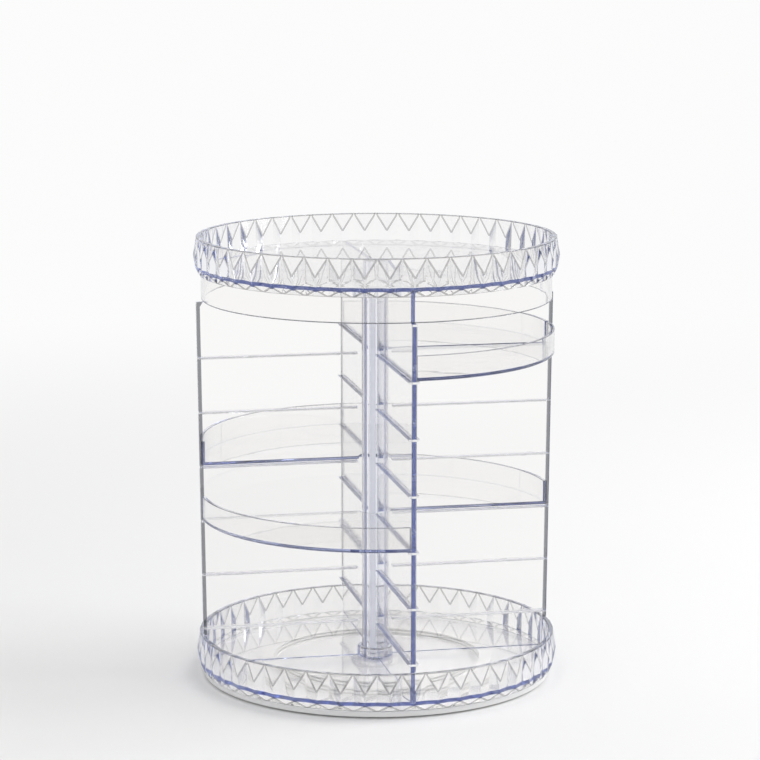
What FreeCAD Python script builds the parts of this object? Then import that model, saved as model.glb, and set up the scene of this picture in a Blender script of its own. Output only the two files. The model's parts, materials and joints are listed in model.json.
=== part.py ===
import FreeCAD, Part
import math
import os
from FreeCAD import Vector

# Rotating makeup organizer: a clear moulded carousel that turns on a ball bearing.
# Millimetres, +Z up, origin on the table under the turning axis.
# The four panels stand at -Y (front), +X (right), +Y (rear) and -X (left).

# Foot that stays still on the table
pad_count = 6
pad_width = 13.0
pad_corner_cut = 3.0
pad_height = 2.0
pad_recess = 0.8
pad_inset = 16.0
foot_radius = 110.5
foot_thickness = 2.2
foot_rim_width = 2.5
foot_boss_radius = 16.0
foot_web_thickness = 2.0

# Ball bearing between the foot and the base tray
ball_count = 12
ball_diameter = 3.2
ball_sides = 10
ball_rows = 3
race_radius = 70.0
race_width = 8.0
race_thickness = 1.0
vee_depth = 0.4
ball_play = 0.02
cage_width = 7.0
cage_thickness = 1.2
cage_clearance = 0.15

# Pivot on the turning axis
hub_radius = 7.0
hub_running_clearance = 0.05
hub_end_play = 0.1
boss_headroom = 1.8
washer_radius = 10.5
washer_thickness = 0.8
screw_radius = 1.5
screw_length = 4.6
screw_head_radius = 3.2
screw_head_height = 1.3
screw_fit = 0.05
cap_thickness = 0.8
cap_step = 1.0

# Diamond-cut ring, the same on the base tray and on the top tray
diamond_count = 48
ring_height = 23.5
ring_peak_radius = 115.0
ring_rim_radius = 113.3
ring_waist_radius = 112.5
ring_tip_radius = 113.7
ring_edge_radius = 111.9
ring_inner_radius = 110.0
peak_row = 11.6
waist_row = 6.6
tip_row = 4.1
ring_drop = 3.4
ring_to_foot_gap = 0.4

# Tray floors, and the sockets in them for the panels and the post
floor_thickness = 2.4
socket_depth = 1.0
socket_clearance = 0.2
collar_height = 6.0
collar_wall = 2.8

# Centre post
post_radius = 9.5
post_slot_depth = 5.0
post_fit = 0.15
post_head_gap = 0.3

# Radial panels with their shelf rails and a bead along the outer edge, which leans in towards the base
panel_thickness = 2.5
panel_radius = 114.5
panel_lean = 2.5
panel_fit = 0.1
panel_edge_clearance = 0.4
panel_ring_gap = 0.5
panel_corner_round = 1.5
bead_width = 2.2
bead_thickness = 3.0
bead_head_height = 3.2
level_count = 6
level_pitch = 34.75
first_rail_gap = 5.7
rail_height = 1.6
rail_tip_height = 0.8
rail_depth = 2.2
rail_end_gap = 0.5

# Quarter-round shelf trays
shelf_radius = 112.2
shelf_side_clearance = 0.6
shelf_post_clearance = 2.0
shelf_floor_thickness = 2.0
shelf_lip_height = 15.5
shelf_lip_thickness = 2.4
shelf_bottom_bevel = 0.8

# Skirt of the top tray, which stands on the panels' shoulders
skirt_height = 19.2
skirt_radius = 110.4
skirt_thickness = 2.0

# Level of each shelf tray, counted from the lowest rail, and the turn to its quarter
shelf_trays = {
    "rear_right_tray": (2, 0),
    "rear_right_upper_tray": (5, 0),
    "rear_left_tray": (3, 90),
    "front_left_tray": (2, 180),
    "front_right_tray": (5, 270),
}
panel_turns = {"right_panel": 0, "rear_panel": 90, "left_panel": 180, "front_panel": 270}

# Heights that follow from the sizes above
up = Vector(0, 0, 1)
axis_point = Vector(0, 0, 0)
foot_underside = pad_height - pad_recess
foot_top = foot_underside + foot_thickness
ball_centre = foot_top + race_thickness - vee_depth + ball_play + ball_diameter / 2
lower_race_top = foot_top + race_thickness
upper_race_bottom = ball_centre + ball_diameter / 2 + ball_play
base_floor_underside = upper_race_bottom + race_thickness
base_floor_top = base_floor_underside + floor_thickness
base_ring_bottom = base_floor_underside - ring_drop
base_ring_top = base_ring_bottom + ring_height
foot_rim_top = base_ring_bottom - ring_to_foot_gap
foot_boss_top = base_floor_underside - boss_headroom
foot_web_bottom = foot_boss_top - foot_web_thickness
hub_bottom = foot_web_bottom - hub_end_play
first_rail = base_ring_top + first_rail_gap
shoulder = first_rail + level_count * level_pitch
panel_notch = base_ring_top + panel_ring_gap
top_floor_underside = shoulder + skirt_height
top_floor_top = top_floor_underside + floor_thickness
top_ring_bottom = top_floor_underside - ring_drop
top_ring_top = top_ring_bottom + ring_height

# Radii and widths that follow from the sizes above
race_inner_radius = race_radius - race_width / 2
race_outer_radius = race_radius + race_width / 2
skirt_inner_radius = skirt_radius - skirt_thickness
hub_bore_radius = hub_radius + hub_running_clearance
counterbore_radius = washer_radius + cap_step
tongue_radius = skirt_inner_radius - panel_edge_clearance
panel_low_radius = ring_inner_radius - panel_edge_clearance
panel_inner_radius = post_radius - post_slot_depth + panel_edge_clearance
socket_width = panel_thickness + 2 * panel_fit
collar_inner_radius = post_radius + post_fit
collar_radius = collar_inner_radius + collar_wall


def tube(inner, outer, low, high):
    """A plain ring about the turning axis."""
    ring = Part.makeCylinder(outer, high - low, Vector(0, 0, low))
    return ring.cut(Part.makeCylinder(inner, high - low, Vector(0, 0, low)))


def rounded_face(corners):
    """A face in the XZ plane from (x, z, corner radius), each round corner a tangent arc."""
    edges = []
    ends = []
    for index, (x, z, radius) in enumerate(corners):
        here = Vector(x, 0, z)
        before = Vector(corners[index - 1][0], 0, corners[index - 1][1])
        following = corners[(index + 1) % len(corners)]
        after = Vector(following[0], 0, following[1])
        back = (before - here).normalize()
        ahead = (after - here).normalize()
        if radius == 0:
            ends.append((here, here))
            continue
        half = back.getAngle(ahead) / 2
        start = here + back * (radius / math.tan(half))
        finish = here + ahead * (radius / math.tan(half))
        bisector = (back + ahead).normalize()
        middle = here + bisector * (radius / math.sin(half) - radius)
        edges.append(Part.Arc(start, middle, finish).toShape())
        ends.append((start, finish))
    for index, (start, finish) in enumerate(ends):
        edges.append(Part.makeLine(ends[index - 1][1], start))
    return Part.Face(Part.Wire(Part.__sortEdges__(edges)))


def facet(*points):
    """A flat face with these corners."""
    return Part.Face(Part.makePolygon(list(points) + [points[0]]))


def turned(profile, angle=360):
    """A revolve about the turning axis of a profile with these (radius, height) corners."""
    return facet(*[Vector(radius, 0, height) for radius, height in profile]).revolve(axis_point, up, angle)


def around(shape, count, offset=0.0):
    """Copies of a shape at +X, evenly spaced about the axis, the first turned by a share of a step."""
    copies = []
    for index in range(count):
        copy = shape.copy()
        copy.rotate(axis_point, up, 360 * (index + offset) / count)
        copies.append(copy)
    return copies


def sockets(reach, low, high):
    """A cross of panel slots through the turning axis."""
    bar = Part.makeBox(2 * reach, socket_width, high - low, Vector(-reach, -socket_width / 2, low))
    crossing = bar.copy()
    crossing.rotate(axis_point, up, 90)
    return bar.fuse(crossing)


def diamond_cut_blank(bottom):
    """A solid blank whose outside is a lattice of flat facets, widest at the peaks."""
    top = bottom + ring_height

    def corner(radius, step, height):
        angle = math.tau * step / diamond_count
        return Vector(radius * math.cos(angle), radius * math.sin(angle), height)

    faces = []
    rim = []
    edge = []
    for step in range(diamond_count):
        left = step - 0.5
        right = step + 0.5
        rim_left = corner(ring_rim_radius, left, top)
        rim_right = corner(ring_rim_radius, right, top)
        peak = corner(ring_peak_radius, step, bottom + peak_row)
        next_peak = corner(ring_peak_radius, step + 1, bottom + peak_row)
        waist_left = corner(ring_waist_radius, left, bottom + waist_row)
        waist_right = corner(ring_waist_radius, right, bottom + waist_row)
        tip = corner(ring_tip_radius, step, bottom + tip_row)
        next_tip = corner(ring_tip_radius, step + 1, bottom + tip_row)
        edge_left = corner(ring_edge_radius, left, bottom)
        edge_right = corner(ring_edge_radius, right, bottom)
        faces.append(facet(rim_left, peak, rim_right))
        faces.append(facet(peak, waist_right, rim_right))
        faces.append(facet(rim_right, waist_right, next_peak))
        faces.append(facet(waist_left, tip, peak))
        faces.append(facet(peak, tip, waist_right))
        faces.append(facet(tip, edge_right, waist_right))
        faces.append(facet(waist_right, edge_right, next_tip))
        faces.append(facet(edge_left, edge_right, tip))
        rim.append(rim_right)
        edge.append(edge_right)
    faces.append(facet(*rim))
    faces.append(facet(*reversed(edge)))
    return Part.Solid(Part.Shell(faces))


def ring_tray(ring_bottom, floor_underside, recess_radius):
    """A diamond-cut ring with a flat floor across it, open above the floor and recessed below it."""
    floor_top = floor_underside + floor_thickness
    ring_top = ring_bottom + ring_height
    well = Part.makeCylinder(ring_inner_radius, ring_top - floor_top, Vector(0, 0, floor_top))
    recess = Part.makeCylinder(recess_radius, ring_drop, Vector(0, 0, ring_bottom))
    return diamond_cut_blank(ring_bottom).cut(well).cut(recess)


def base_tray():
    """The turning base: ring, floor, hub underneath and a slotted collar for the post."""
    tray = ring_tray(base_ring_bottom, base_floor_underside, ring_inner_radius)
    hub = Part.makeCylinder(hub_radius, base_floor_top - hub_bottom, Vector(0, 0, hub_bottom))
    collar_top = base_floor_top + collar_height
    collar = tube(collar_inner_radius, collar_radius, base_floor_underside, collar_top)
    screw_hole = Part.makeCylinder(screw_radius + screw_fit, screw_length, Vector(0, 0, hub_bottom))
    slots = sockets(panel_low_radius + socket_clearance, base_floor_top - socket_depth, collar_top)
    return tray.fuse([hub, collar]).removeSplitter().cut(screw_hole).cut(slots)


def top_tray():
    """The lift-off top tray: ring, a floor that spans the smooth skirt, and a slotted collar underneath."""
    tray = ring_tray(top_ring_bottom, top_floor_underside, skirt_inner_radius)
    floor = Part.makeCylinder(skirt_radius, floor_thickness, Vector(0, 0, top_floor_underside))
    skirt = tube(skirt_inner_radius, skirt_radius, shoulder, top_floor_top)
    collar_bottom = top_floor_underside - collar_height
    collar = tube(collar_inner_radius, collar_radius, collar_bottom, top_floor_top)
    slots = sockets(tongue_radius + socket_clearance, collar_bottom, top_floor_underside + socket_depth)
    return tray.fuse([floor, skirt, collar]).removeSplitter().cut(slots)


def centre_post():
    """A round post with four full-length slots that take the panels' inner edges."""
    length = top_floor_underside - post_head_gap - base_floor_top
    post = Part.makeCylinder(post_radius, length, Vector(0, 0, base_floor_top))
    for turn in panel_turns.values():
        floor_of_slot = Vector(post_radius - post_slot_depth, -socket_width / 2, base_floor_top)
        slot = Part.makeBox(2 * post_slot_depth, socket_width, length, floor_of_slot)
        slot.rotate(axis_point, up, turn)
        post = post.cut(slot)
    return post


def panel_edge(height):
    """Radius of the panel's outer edge at a height."""
    return panel_radius - panel_lean * (shoulder - height) / (shoulder - panel_notch)


def sheet(outline, thickness):
    """A flat plate at +X, centred on the XZ plane."""
    plate = rounded_face(outline).extrude(Vector(0, thickness, 0))
    plate.translate(Vector(0, -thickness / 2, 0))
    return plate


def panel():
    """The panel at +X: notched over the base ring, with shoulders and a tongue for the top tray."""
    low = base_floor_top - socket_depth
    high = top_floor_underside + socket_depth - socket_clearance
    outline = [
        (panel_inner_radius, low, 0),
        (panel_low_radius, low, 0),
        (panel_low_radius, panel_notch, 0),
        (panel_edge(panel_notch), panel_notch, panel_corner_round),
        (panel_radius, shoulder, 0),
        (tongue_radius, shoulder, 0),
        (tongue_radius, high, panel_corner_round),
        (panel_inner_radius, high, 0),
    ]
    return sheet(outline, panel_thickness).fuse([bead()] + rails()).removeSplitter()


def bead():
    """The thicker rim along the panel's outer edge, with a wedge-shaped head beside the skirt."""
    under_head = shoulder - bead_head_height
    outline = [
        (panel_edge(panel_notch) - bead_width, panel_notch, 0),
        (panel_edge(panel_notch), panel_notch, panel_corner_round),
        (panel_radius, shoulder, 0),
        (skirt_radius, shoulder, 0),
        (panel_edge(under_head) - bead_width, under_head, 0),
    ]
    return sheet(outline, bead_thickness)


def rails():
    """Moulded rails on both faces of the panel, one pair for each shelf level."""
    start = collar_radius
    face = panel_thickness / 2
    found = []
    for level in range(level_count):
        height = first_rail + level * level_pitch
        length = panel_edge(height) - rail_end_gap - start
        for side in (-1, 1):
            section = [
                Vector(start, 0, height),
                Vector(start, side * (face + rail_depth), height),
                Vector(start, side * (face + rail_depth), height - rail_tip_height),
                Vector(start, side * face, height - rail_height),
                Vector(start, 0, height - rail_height),
            ]
            found.append(facet(*section).extrude(Vector(length, 0, 0)))
    return found


def shelf_tray():
    """A quarter-round tray in the +X +Y quarter, standing on Z = 0, with a lip on its round edge."""
    inner = post_radius + shelf_post_clearance
    lip_inside = shelf_radius - shelf_lip_thickness
    profile = [
        (inner, 0),
        (shelf_radius - shelf_bottom_bevel, 0),
        (shelf_radius, shelf_bottom_bevel),
        (shelf_radius, shelf_lip_height),
        (lip_inside, shelf_lip_height),
        (lip_inside, shelf_floor_thickness),
        (inner, shelf_floor_thickness),
    ]
    quarter = turned(profile, 90)
    side = panel_thickness / 2 + shelf_side_clearance
    room = Part.makeBox(shelf_radius, shelf_radius, shelf_lip_height, Vector(side, side, 0))
    return quarter.common(room)


def foot_plate():
    """The still foot: a thin dish with a rim, a central boss and pockets for the pads."""
    profile = [
        (hub_bore_radius, foot_web_bottom),
        (counterbore_radius, foot_web_bottom),
        (counterbore_radius, foot_underside),
        (foot_radius, foot_underside),
        (foot_radius, foot_rim_top),
        (foot_radius - foot_rim_width, foot_rim_top),
        (foot_radius - foot_rim_width, foot_top),
        (foot_boss_radius, foot_top),
        (foot_boss_radius, foot_boss_top),
        (hub_bore_radius, foot_boss_top),
    ]
    pockets = pads(foot_underside, foot_underside + pad_recess)
    return turned(profile).cut(pockets)


def pads(low, high):
    """Square blocks with cut corners, on a circle just inside the foot's edge."""
    reach = foot_radius - pad_inset
    half = pad_width / 2
    flat = half - pad_corner_cut
    quarter = [(half, flat), (flat, half)]
    outline = []
    for _ in range(4):
        outline += quarter
        quarter = [(-y, x) for x, y in quarter]
    corners = [Vector(reach + x, y, low) for x, y in outline]
    return around(facet(*corners).extrude(up * (high - low)), pad_count, 0.5)


def rubber_feet():
    """Rubber pads glued into the foot's pockets."""
    return Part.makeCompound(pads(0, pad_height))


def lower_race():
    """The race on the foot, whose top is a shallow vee that keeps the balls on their circle."""
    profile = [
        (race_inner_radius, foot_top),
        (race_outer_radius, foot_top),
        (race_outer_radius, lower_race_top),
        (race_radius, lower_race_top - vee_depth),
        (race_inner_radius, lower_race_top),
    ]
    return turned(profile)


def upper_race():
    """The flat race under the base tray's floor."""
    return tube(race_inner_radius, race_outer_radius, upper_race_bottom, base_floor_underside)


def ball():
    """One ball of the race at +X, many-sided, with a corner at its lowest and highest point."""
    radius = ball_diameter / 2
    centre = Vector(race_radius, 0, ball_centre)

    def corner(side, row):
        around_axis = math.tau * side / ball_sides
        from_pole = math.pi * row / (ball_rows + 1)
        across = radius * math.sin(from_pole)
        height = radius * math.cos(from_pole)
        return centre + Vector(across * math.cos(around_axis), across * math.sin(around_axis), height)

    top = centre + up * radius
    bottom = centre - up * radius
    faces = []
    for side in range(ball_sides):
        after = side + 1
        faces.append(facet(top, corner(side, 1), corner(after, 1)))
        for row in range(1, ball_rows):
            below = row + 1
            corners = [corner(side, row), corner(side, below), corner(after, below), corner(after, row)]
            faces.append(facet(*corners))
        faces.append(facet(corner(side, ball_rows), bottom, corner(after, ball_rows)))
    return Part.Solid(Part.Shell(faces))


def bearing_balls():
    """The ring of steel balls."""
    return Part.makeCompound(around(ball(), ball_count))


def ball_cage():
    """A flat ring with one square pocket for each ball."""
    low = ball_centre - cage_thickness / 2
    cage = tube(race_radius - cage_width / 2, race_radius + cage_width / 2, low, low + cage_thickness)
    half = ball_diameter / 2 + cage_clearance
    pocket = Part.makeBox(2 * half, 2 * half, cage_thickness, Vector(race_radius - half, -half, low))
    return cage.cut(around(pocket, ball_count))


def pivot_washer():
    """The washer that the screw pulls against the hub, wider than the hub's bore in the foot."""
    return tube(screw_radius + screw_fit, washer_radius, hub_bottom - washer_thickness, hub_bottom)


def pivot_screw():
    """The screw up into the hub, with a flat round head under the washer."""
    seat = hub_bottom - washer_thickness
    profile = [
        (0, seat - screw_head_height),
        (screw_head_radius, seat - screw_head_height),
        (screw_head_radius, seat),
        (screw_radius, seat),
        (screw_radius, hub_bottom + screw_length - socket_clearance),
        (0, hub_bottom + screw_length - socket_clearance),
    ]
    return turned(profile)


def pivot_cap():
    """The round cap pressed into the counterbore under the foot."""
    return Part.makeCylinder(counterbore_radius, cap_thickness, Vector(0, 0, foot_underside))


def organizer():
    """Every piece of the organizer by its node name, each in its place."""
    pieces = {
        "foot_plate": foot_plate(),
        "rubber_feet": rubber_feet(),
        "lower_race": lower_race(),
        "pivot_cap": pivot_cap(),
        "ball_cage": ball_cage(),
        "bearing_balls": bearing_balls(),
        "upper_race": upper_race(),
        "pivot_washer": pivot_washer(),
        "pivot_screw": pivot_screw(),
        "base_tray": base_tray(),
        "centre_post": centre_post(),
        "top_tray": top_tray(),
    }
    for name, turn in panel_turns.items():
        pieces[name] = panel()
        pieces[name].rotate(axis_point, up, turn)
    for name, (level, turn) in shelf_trays.items():
        pieces[name] = shelf_tray()
        pieces[name].rotate(axis_point, up, turn)
        pieces[name].translate(Vector(0, 0, first_rail + level * level_pitch))
    return pieces


os.makedirs("parts", exist_ok=True)
for name, shape in organizer().items():
    shape.exportStep(f"parts/{name}.step")
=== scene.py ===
import json
import math

import bmesh
import bpy
from mathutils import Euler, Matrix, Vector


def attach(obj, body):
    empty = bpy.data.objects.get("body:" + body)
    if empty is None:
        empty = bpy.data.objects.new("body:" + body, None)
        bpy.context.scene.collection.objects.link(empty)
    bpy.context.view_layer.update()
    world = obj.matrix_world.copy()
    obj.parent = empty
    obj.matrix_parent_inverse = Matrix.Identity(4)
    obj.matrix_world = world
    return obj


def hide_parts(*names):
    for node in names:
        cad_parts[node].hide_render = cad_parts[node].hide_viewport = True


# A clear rotating makeup organizer on a white table. Metres, +Z up, the turning axis through the origin.

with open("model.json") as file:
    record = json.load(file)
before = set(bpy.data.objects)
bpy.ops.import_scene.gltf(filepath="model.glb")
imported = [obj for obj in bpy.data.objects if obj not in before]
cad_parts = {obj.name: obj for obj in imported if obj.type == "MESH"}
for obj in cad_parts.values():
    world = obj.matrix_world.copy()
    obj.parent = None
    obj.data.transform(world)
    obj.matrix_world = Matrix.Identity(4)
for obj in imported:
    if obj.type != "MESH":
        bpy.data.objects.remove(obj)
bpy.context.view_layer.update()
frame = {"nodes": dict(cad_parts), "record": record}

# Camera, fitted to the rings, the shelf edges and the panel edges
camera_lens = 137.3
camera_sensor = 36.0
camera_azimuth = math.radians(-11.5)
camera_distance = 1.804
camera_height = 0.514
camera_pitch = math.radians(10.21)
camera_yaw = math.radians(0.07)
camera_near = 0.05
camera_far = 60.0

# White table, which keeps the shadow up to the start of its fade
table_radius = 14.0
table_corners = 64
table_tone = 0.86
table_fade_start = 0.4
table_fade_end = 1.5

# Room: heights of the ceiling's fade are those of a direction of length 1
sky_tone = 0.80
backdrop_tone = 0.97
ceiling_tone = 0.5
ceiling_start = 0.40
ceiling_end = 0.75

# Light that goes to and fro inside the clear pieces
inside_tone = 0.55
few_bounces = 1.0
many_bounces = 3.0
most_bounces = 48

# Key lamp, high on the right
key_place = (1.7, -0.15, 1.5)
key_aim = (0.0, 0.0, 0.15)
key_size = 1.2
key_power = 24.0

# Clear plastic
plastic_index = 1.52
plastic_tint = (0.43, 0.515, 0.83)
plastic_density = 14.0
clear_colour = (0.997, 0.989, 0.972)
# Painted shade on the rounded edges of the shelf trays and of the top tray below its skirt edge: the dark lines
# clear edges show
painted_edge_shade = (0.18, 0.185, 0.205)
# Painted shade on the sides of the panels' beads, which read as dark bars
painted_bead_shade = (0.27, 0.275, 0.29)
# Painted shade on the aslant edges of the ring trays' diamond cuts, drawn as dark lines
painted_facet_shade = (0.36, 0.355, 0.345)
ripple_scale = 28.0
ripple_detail = 2.0
ripple_strength = 0.04
ripple_depth = 0.002
wipe_scale = 260.0
wipe_detail = 3.0
wipe_roughness = 0.03

# Matt white of sawn edges and the foot's inside, also laid on the rail ends as painted highlights
white_colour = (0.95, 0.95, 0.955)
white_roughness = 0.35
white_roughness_spread = 0.15

# Frosted rim of the foot, greyer than its inside: painted shade of the band under the ring
foot_rim_shade_colour = (0.90, 0.90, 0.895)
foot_rim_clearness = 0.1
foot_rim_roughness = 0.25
foot_rim_roughness_spread = 0.12
frost_scale = 900.0
frost_detail = 2.0
frost_strength = 0.1
frost_depth = 0.0003

# Opaque plastic and rubber
rubber_colour = (0.80, 0.80, 0.78)
rubber_roughness = 0.6
race_colour = (0.95, 0.95, 0.945)
race_roughness = 0.35
satin_roughness_spread = 0.15
satin_scale = 700.0
satin_detail = 3.0
satin_strength = 0.15
satin_depth = 0.0002

# Metals
ball_colour = (0.78, 0.78, 0.80)
ball_roughness = 0.12
zinc_colour = (0.72, 0.73, 0.75)
zinc_roughness = 0.3
polish_scale = 900.0
polish_detail = 3.0
polish_roughness_spread = 0.1

# Rounded edges of the mouldings
weld_distance = 1e-6
flat_angle = 0.004
sharp_angle = math.radians(10)
strip_angle = math.radians(50)
moulded_edge = 0.0003
panel_edge = 0.00022
ring_edge = 0.0006
edge_steps = 2
ring_steps = 4
round_profile = 0.5
flat_face_weight = 100

# Ring trays: the slots that stay sharp, the diamond cuts outside them, and the skirt under the top one
ring_trays = ("base_tray", "top_tray")
socket_reach = 0.1099
socket_half = 0.002
facet_reach = 0.1115
skirt_edge_top = 0.2446
upright_share = 0.3

# Panels: the bead along the outer edge, the sawn inner edge, and white bands at the rails that paint highlights
bead_inside = 0.0013
bead_outside = 0.00155
bead_reach = 0.109
outward_share = 0.7
sawn_edge_reach = 0.006
first_rail = 0.03404
rail_pitch = 0.03475
highlight_middle = 0.0007
highlight_half = 0.0007

# Foot, bearing, and the hair between clear pieces that stand on each other
foot_rim_reach = 0.1095
ball_count = 12
ball_circle = 0.070
ball_fineness = 3
race_seat = 0.95
standing_gap = 0.00004


class Wire:
    """A node's output in a material or world, whose arithmetic adds Math nodes beside it."""

    def __init__(self, tree, socket=None):
        self.tree = tree
        self.socket = socket

    def add(self, kind, settings=None, inputs=None, output=0):
        """A new node: its settings first, then the values or wires of its sockets."""
        node = self.tree.nodes.new(kind)
        for name, value in (settings or {}).items():
            setattr(node, name, value)
        for name, value in (inputs or {}).items():
            if isinstance(value, Wire):
                self.tree.links.new(value.socket, node.inputs[name])
            else:
                node.inputs[name].default_value = value
        return Wire(self.tree, node.outputs[output] if node.outputs else None)

    def math(self, operation, first, second):
        return self.add("ShaderNodeMath", {"operation": operation}, {0: first, 1: second})

    def __add__(self, other):
        return self.math("ADD", self, other)

    __radd__ = __add__

    def __mul__(self, other):
        return self.math("MULTIPLY", self, other)

    __rmul__ = __mul__

    def __sub__(self, other):
        return self.math("SUBTRACT", self, other)

    def __rsub__(self, other):
        return self.math("SUBTRACT", other, self)


def new_material(name):
    """An empty node material and the wire that starts its nodes."""
    material = bpy.data.materials.new(name)
    material.use_nodes = True
    material.node_tree.nodes.clear()
    return material, Wire(material.node_tree)


def object_place(start):
    """The place of a point in its own object."""
    return start.add("ShaderNodeTexCoord", output="Object")


def height_of(start, place):
    """The height of a place or direction."""
    return start.add("ShaderNodeSeparateXYZ", None, {"Vector": place}, output="Z")


def unevenness(start, place, scale, detail):
    """Fine unevenness over a surface, from 0 to 1."""
    return start.add("ShaderNodeTexNoise", None, {"Vector": place, "Scale": scale, "Detail": detail})


def relief(start, height, strength, depth):
    """Shallow relief for the Normal of a surface."""
    return start.add("ShaderNodeBump", None, {"Strength": strength, "Distance": depth, "Height": height})


def face_value(start, name, output):
    """What rounded_moulding wrote on each face under a name."""
    return start.add("ShaderNodeAttribute", {"attribute_name": name}, output=output)


def white_skin(start, grain):
    """Matt white, as on sawn edges; at the rail ends it paints highlights."""
    return start.add("ShaderNodeBsdfPrincipled", None, {
        "Base Color": (*white_colour, 1.0),
        "Roughness": white_roughness + grain * white_roughness_spread,
    })


def clear_plastic():
    """Polished clear moulding: ripples, wipe marks, painted grey shade on its rounded edges, painted white
    highlights at the rails, blue along its length.
    """
    material, start = new_material("clear_plastic")
    place = object_place(start)
    ripple = unevenness(start, place, ripple_scale, ripple_detail)
    wipe = unevenness(start, place, wipe_scale, wipe_detail)
    # Base Color carries the painted grey shade of the edge strips
    clear = start.add("ShaderNodeBsdfPrincipled", None, {
        "Base Color": face_value(start, "tint_and_shade", "Color"),
        "IOR": plastic_index,
        "Transmission Weight": 1.0,
        "Roughness": wipe * wipe_roughness,
        "Normal": relief(start, ripple, ripple_strength, ripple_depth),
    })
    # White bands at each rail's height on the panels' outer edges: painted highlights
    above_highlight = height_of(start, place) - (first_rail - highlight_middle)
    from_highlight = start.math("PINGPONG", above_highlight, rail_pitch / 2)
    highlight_band = face_value(start, "painted_highlight", "Fac") * start.math("LESS_THAN", from_highlight, highlight_half)
    white = start.math("MAXIMUM", highlight_band, face_value(start, "white", "Fac"))
    surface = start.add("ShaderNodeMixShader", None, {0: white, 1: clear, 2: white_skin(start, wipe)})
    volume = start.add("ShaderNodeVolumeAbsorption", None, {
        "Color": (*plastic_tint, 1.0),
        "Density": plastic_density,
    })
    start.add("ShaderNodeOutputMaterial", None, {"Surface": surface, "Volume": volume})
    return material


def frosted_plastic():
    """The foot's white moulding with a translucent, lightly frosted rim, greyed a little as painted shade."""
    material, start = new_material("frosted_plastic")
    grain = unevenness(start, object_place(start), frost_scale, frost_detail)
    rim = start.add("ShaderNodeBsdfPrincipled", None, {
        "Base Color": (*foot_rim_shade_colour, 1.0),
        "IOR": plastic_index,
        "Transmission Weight": foot_rim_clearness,
        "Roughness": foot_rim_roughness + grain * foot_rim_roughness_spread,
        "Normal": relief(start, grain, frost_strength, frost_depth),
    })
    white = face_value(start, "white", "Fac")
    surface = start.add("ShaderNodeMixShader", None, {0: white, 1: rim, 2: white_skin(start, grain)})
    start.add("ShaderNodeOutputMaterial", None, {"Surface": surface})
    return material


def satin_plastic(name, colour, roughness):
    """An opaque moulding with a fine matt grain."""
    material, start = new_material(name)
    grain = unevenness(start, object_place(start), satin_scale, satin_detail)
    surface = start.add("ShaderNodeBsdfPrincipled", None, {
        "Base Color": (*colour, 1.0),
        "Roughness": roughness + grain * satin_roughness_spread,
        "Normal": relief(start, grain, satin_strength, satin_depth),
    })
    start.add("ShaderNodeOutputMaterial", None, {"Surface": surface})
    return material


def metal(name, colour, roughness):
    """Bare metal with faint marks in its polish."""
    material, start = new_material(name)
    marks = unevenness(start, object_place(start), polish_scale, polish_detail)
    surface = start.add("ShaderNodeBsdfPrincipled", None, {
        "Base Color": (*colour, 1.0),
        "Metallic": 1.0,
        "Roughness": roughness + marks * polish_roughness_spread,
    })
    start.add("ShaderNodeOutputMaterial", None, {"Surface": surface})
    return material


def from_cross(point):
    """How far a point is from the middle planes of the panels."""
    return min(abs(point.x), abs(point.y))


def outward_at(point):
    """The level direction from the turning axis to a point."""
    return Vector((point.x, point.y, 0.0)).normalized()


def is_rounded(name, edge):
    """True for outer edges and for all edges of the diamond cuts, but not for the slots in the ring trays."""
    if edge.calc_face_angle() < sharp_angle:
        return False
    if name not in ring_trays:
        return edge.is_convex
    middle = (edge.verts[0].co + edge.verts[1].co) / 2
    reach = middle.xy.length
    if reach < socket_reach and from_cross(middle) < socket_half:
        return False
    return edge.is_convex or reach > facet_reach


def is_upright(face):
    """True for a narrow face of a ring that runs straight up, not round the ring or aslant."""
    longest = max(face.edges, key=lambda edge: edge.calc_length())
    run = (longest.verts[1].co - longest.verts[0].co).normalized()
    along_ring = outward_at(face.calc_center_median()).cross(Vector((0.0, 0.0, 1.0)))
    return abs(run.dot(along_ring)) < upright_share


def face_colour_and_shade(name, face, is_strip):
    """The colour of a clear face: grey on narrow rounded edges and on the sides of the panels' beads, as
    painted shade for the dark lines clear edges show.
    """
    middle = face.calc_center_median()
    if name.endswith("panel"):
        is_bead = bead_inside < from_cross(middle) < bead_outside and middle.xy.length > bead_reach
        return painted_bead_shade if is_bead else clear_colour
    if not is_strip or not name.endswith("tray"):
        return clear_colour
    if name not in ring_trays or (name == "top_tray" and middle.z < skirt_edge_top):
        return painted_edge_shade
    return clear_colour if is_upright(face) else painted_facet_shade


def is_highlight_face(name, face):
    """True for the panels' outer edges and the ends of their rails, where a white band at each rail paints a
    highlight.
    """
    middle = face.calc_center_median()
    faces_outward = face.normal.dot(outward_at(middle)) > outward_share
    return name.endswith("panel") and middle.xy.length > bead_reach and faces_outward


def is_white(name, face):
    """True for the sawn inner edges of the panels and for all of the foot inside its rim."""
    reach = face.calc_center_median().xy.length
    if name.endswith("panel"):
        return reach < sawn_edge_reach
    return name == "foot_plate" and reach < foot_rim_reach


def stands_on_clear(name):
    """True for the clear pieces whose underside rests on another clear piece."""
    return name == "centre_post" or (name.endswith(("panel", "tray")) and name != "base_tray")


def lift_underside(work):
    """Raises the lowest flat face by a hair, because two clear faces in the same place render black."""
    low = min(corner.co.z for corner in work.verts)
    for corner in work.verts:
        if corner.co.z < low + weld_distance:
            corner.co.z += standing_gap


def link_piece(name, work):
    """A new object of this name from a finished mesh."""
    mesh = bpy.data.meshes.new(name)
    work.to_mesh(mesh)
    work.free()
    piece = bpy.data.objects.new(name, mesh)
    bpy.context.scene.collection.objects.link(piece)
    return piece


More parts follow.
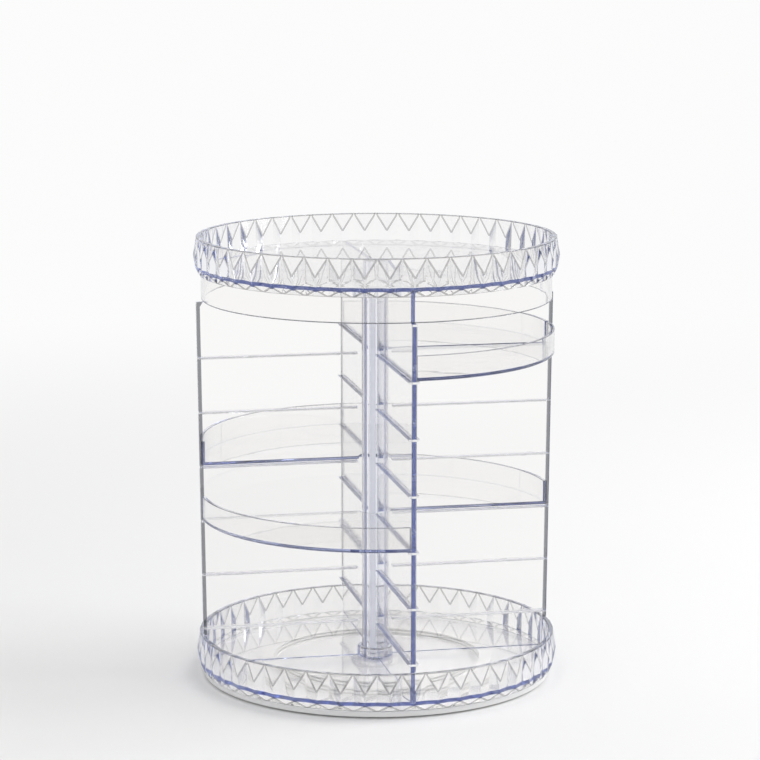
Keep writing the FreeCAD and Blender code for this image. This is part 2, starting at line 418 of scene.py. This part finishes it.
def rounded_moulding(name, edge_width, steps):
    """A copy of a node with its sharp edges rounded over, ready to stand in the node's place."""
    work = bmesh.new()
    work.from_mesh(frame["nodes"][name].data)
    tint_and_shade = work.faces.layers.float_color.new("tint_and_shade")
    painted_highlight = work.faces.layers.float.new("painted_highlight")
    white = work.faces.layers.float.new("white")
    bmesh.ops.remove_doubles(work, verts=work.verts, dist=weld_distance)
    bmesh.ops.dissolve_limit(work, angle_limit=flat_angle, verts=work.verts, edges=work.edges)
    sharp = [edge for edge in work.edges if is_rounded(name, edge)]
    made = bmesh.ops.bevel(
        work, geom=sharp, offset=edge_width, offset_type="OFFSET", segments=steps, profile=round_profile,
        affect="EDGES", clamp_overlap=False, loop_slide=False, face_strength_mode="ALL")
    strips = set(made["faces"])
    for face in work.faces:
        face.smooth = True
        # Painted shade goes onto the grey edge strips, and painted highlights onto the panels' rail ends
        face[tint_and_shade] = (*face_colour_and_shade(name, face, face in strips), 1.0)
        face[painted_highlight] = float(is_highlight_face(name, face))
        face[white] = float(is_white(name, face))
    if stands_on_clear(name):
        lift_underside(work)
    for edge in work.edges:
        rounded = any(face in strips for face in edge.link_faces)
        edge.smooth = edge.calc_face_angle() < (strip_angle if rounded else sharp_angle)
    piece = link_piece(name + "_rounded", work)
    attributes = piece.data.attributes
    if "custom_normal" in attributes:
        attributes.remove(attributes["custom_normal"])
    shading = piece.modifiers.new("flat_faces", "WEIGHTED_NORMAL")
    shading.use_face_influence = True
    shading.keep_sharp = True
    shading.weight = flat_face_weight
    return piece


def smooth_balls(name):
    """Round balls in the places of the many-sided ones."""
    heights = [corner.co.z for corner in frame["nodes"][name].data.vertices]
    radius = (max(heights) - min(heights)) / 2
    work = bmesh.new()
    for step in range(ball_count):
        angle = math.tau * step / ball_count
        place = (ball_circle * math.cos(angle), ball_circle * math.sin(angle), min(heights) + radius)
        bmesh.ops.create_icosphere(
            work, subdivisions=ball_fineness, radius=radius, matrix=Matrix.Translation(place))
    for face in work.faces:
        face.smooth = True
    return link_piece(name + "_round", work)


def seated_race(name):
    """The upper race with rounded edges, a hair thinner so that it shares no face with the clear floor."""
    piece = rounded_moulding(name, panel_edge, edge_steps)
    low = min(corner.co.z for corner in piece.data.vertices)
    for corner in piece.data.vertices:
        corner.co.z = low + (corner.co.z - low) * race_seat
    return piece


def new_piece(name, slot):
    """The finer piece that stands in for a node, or nothing where the node's own mesh is kept."""
    if name in ring_trays:
        return rounded_moulding(name, ring_edge, ring_steps)
    if name.endswith("panel"):
        return rounded_moulding(name, panel_edge, edge_steps)
    if slot in ("clear_plastic", "foot_plastic"):
        return rounded_moulding(name, moulded_edge, edge_steps)
    if name == "bearing_balls":
        return smooth_balls(name)
    if name == "upper_race":
        return seated_race(name)
    return None


def dress_nodes():
    """Rounds the mouldings over, and gives every piece the finish of its material slot."""
    finishes = {
        "clear_plastic": clear_plastic(),
        "foot_plastic": frosted_plastic(),
        "foot_rubber": satin_plastic("foot_rubber", rubber_colour, rubber_roughness),
        "race_plastic": satin_plastic("race_plastic", race_colour, race_roughness),
        "bearing_steel": metal("bearing_steel", ball_colour, ball_roughness),
        "zinc_steel": metal("zinc_steel", zinc_colour, zinc_roughness),
    }
    carrier = {}
    for body, nodes in frame["record"]["behaviour"]["bodies"].items():
        for node in nodes:
            carrier[node] = body
    for row in frame["record"]["subparts"]:
        name = row["node"]
        slot = row["material_slot"]
        piece = new_piece(name, slot)
        if piece:
            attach(piece, carrier[name])
            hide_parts(name)
        else:
            piece = frame["nodes"][name]
        piece.data.materials.clear()
        piece.data.materials.append(finishes[slot])


def light_path(start, name):
    """One of the outputs that say what kind of ray is looking."""
    return start.add("ShaderNodeLightPath", output=name)


def inside_dimming(start):
    """1 for light that came straight through or was mirrored once, less for light that went to and fro."""
    return start.add("ShaderNodeMapRange", None, {
        "Value": light_path(start, "Glossy Depth"),
        "From Min": few_bounces,
        "From Max": many_bounces,
        "To Min": 1.0,
        "To Max": inside_tone,
    })


def table_finish():
    """Matt white that fades to plain white far off, so that the table has no far edge."""
    material, start = new_material("white_table")
    reach = start.add("ShaderNodeVectorMath", {"operation": "LENGTH"}, {0: object_place(start)}, output="Value")
    far = start.add("ShaderNodeMapRange", {"interpolation_type": "SMOOTHSTEP"}, {
        "Value": reach,
        "From Min": table_fade_start,
        "From Max": table_fade_end,
    })
    straight = light_path(start, "Is Camera Ray")
    seen = straight + light_path(start, "Is Glossy Ray") + light_path(start, "Is Transmission Ray")
    lit = start.add("ShaderNodeBsdfDiffuse", None, {"Color": (table_tone, table_tone, table_tone, 1.0)})
    plain = start.add("ShaderNodeEmission", None, {"Strength": inside_dimming(start) * backdrop_tone})
    surface = start.add("ShaderNodeMixShader", None, {0: far * seen, 1: lit, 2: plain})
    start.add("ShaderNodeOutputMaterial", None, {"Surface": surface})
    return material


def white_table():
    """A wide round table top under the organizer."""
    corners = []
    for step in range(table_corners):
        angle = math.tau * step / table_corners
        corners.append((table_radius * math.cos(angle), table_radius * math.sin(angle), 0.0))
    mesh = bpy.data.meshes.new("white_table")
    mesh.from_pydata(corners, [], [range(table_corners)])
    mesh.materials.append(table_finish())
    table = bpy.data.objects.new("white_table", mesh)
    bpy.context.scene.collection.objects.link(table)


def studio_world():
    """A pale room: white round the horizon, dimmer overhead, and plain white where the camera looks at it."""
    world = bpy.data.worlds.new("studio")
    world.use_nodes = True
    world.node_tree.nodes.clear()
    bpy.context.scene.world = world
    start = Wire(world.node_tree)
    direction = start.add("ShaderNodeTexCoord", output="Generated")
    ceiling = start.add("ShaderNodeMapRange", None, {
        "Value": height_of(start, direction),
        "From Min": ceiling_start,
        "From Max": ceiling_end,
        "To Min": 1.0,
        "To Max": ceiling_tone,
    })
    camera = light_path(start, "Is Camera Ray")
    diffuse = start.math("MINIMUM", light_path(start, "Diffuse Depth"), 1.0)
    seen = camera + (1.0 - camera) * ceiling * inside_dimming(start)
    strength = seen * (1.0 - diffuse) * backdrop_tone + diffuse * sky_tone
    surface = start.add("ShaderNodeBackground", None, {"Color": (1.0, 1.0, 1.0, 1.0), "Strength": strength})
    start.add("ShaderNodeOutputWorld", None, {"Surface": surface})
    world.cycles.sampling_method = "NONE"


def key_lamp():
    """A square soft light pointed at the organizer."""
    data = bpy.data.lights.new("key_lamp", "AREA")
    data.shape = "RECTANGLE"
    data.size = key_size
    data.size_y = key_size
    data.energy = key_power
    lamp = bpy.data.objects.new("key_lamp", data)
    lamp.location = key_place
    lamp.rotation_euler = (Vector(key_aim) - Vector(key_place)).to_track_quat("-Z", "Y").to_euler()
    bpy.context.scene.collection.objects.link(lamp)


def photo_camera():
    """The camera at the photograph's angle."""
    data = bpy.data.cameras.new("photo_camera")
    data.lens = camera_lens
    data.sensor_width = camera_sensor
    data.clip_start = camera_near
    data.clip_end = camera_far
    camera = bpy.data.objects.new("photo_camera", data)
    across = math.sin(camera_azimuth) * camera_distance
    along = -math.cos(camera_azimuth) * camera_distance
    camera.location = (across, along, camera_height)
    camera.rotation_euler = Euler((math.pi / 2 - camera_pitch, 0.0, camera_azimuth - camera_yaw))
    bpy.context.scene.collection.objects.link(camera)
    bpy.context.scene.camera = camera


def set_scene():
    """View transform, and enough light bounces for many clear walls in a row."""
    scene = bpy.context.scene
    scene.view_settings.view_transform = "Standard"
    scene.cycles.max_bounces = most_bounces
    scene.cycles.transmission_bounces = most_bounces
    scene.cycles.glossy_bounces = most_bounces
    scene.cycles.transparent_max_bounces = most_bounces
    scene.cycles.blur_glossy = 0.0


dress_nodes()
white_table()
studio_world()
key_lamp()
photo_camera()
set_scene()
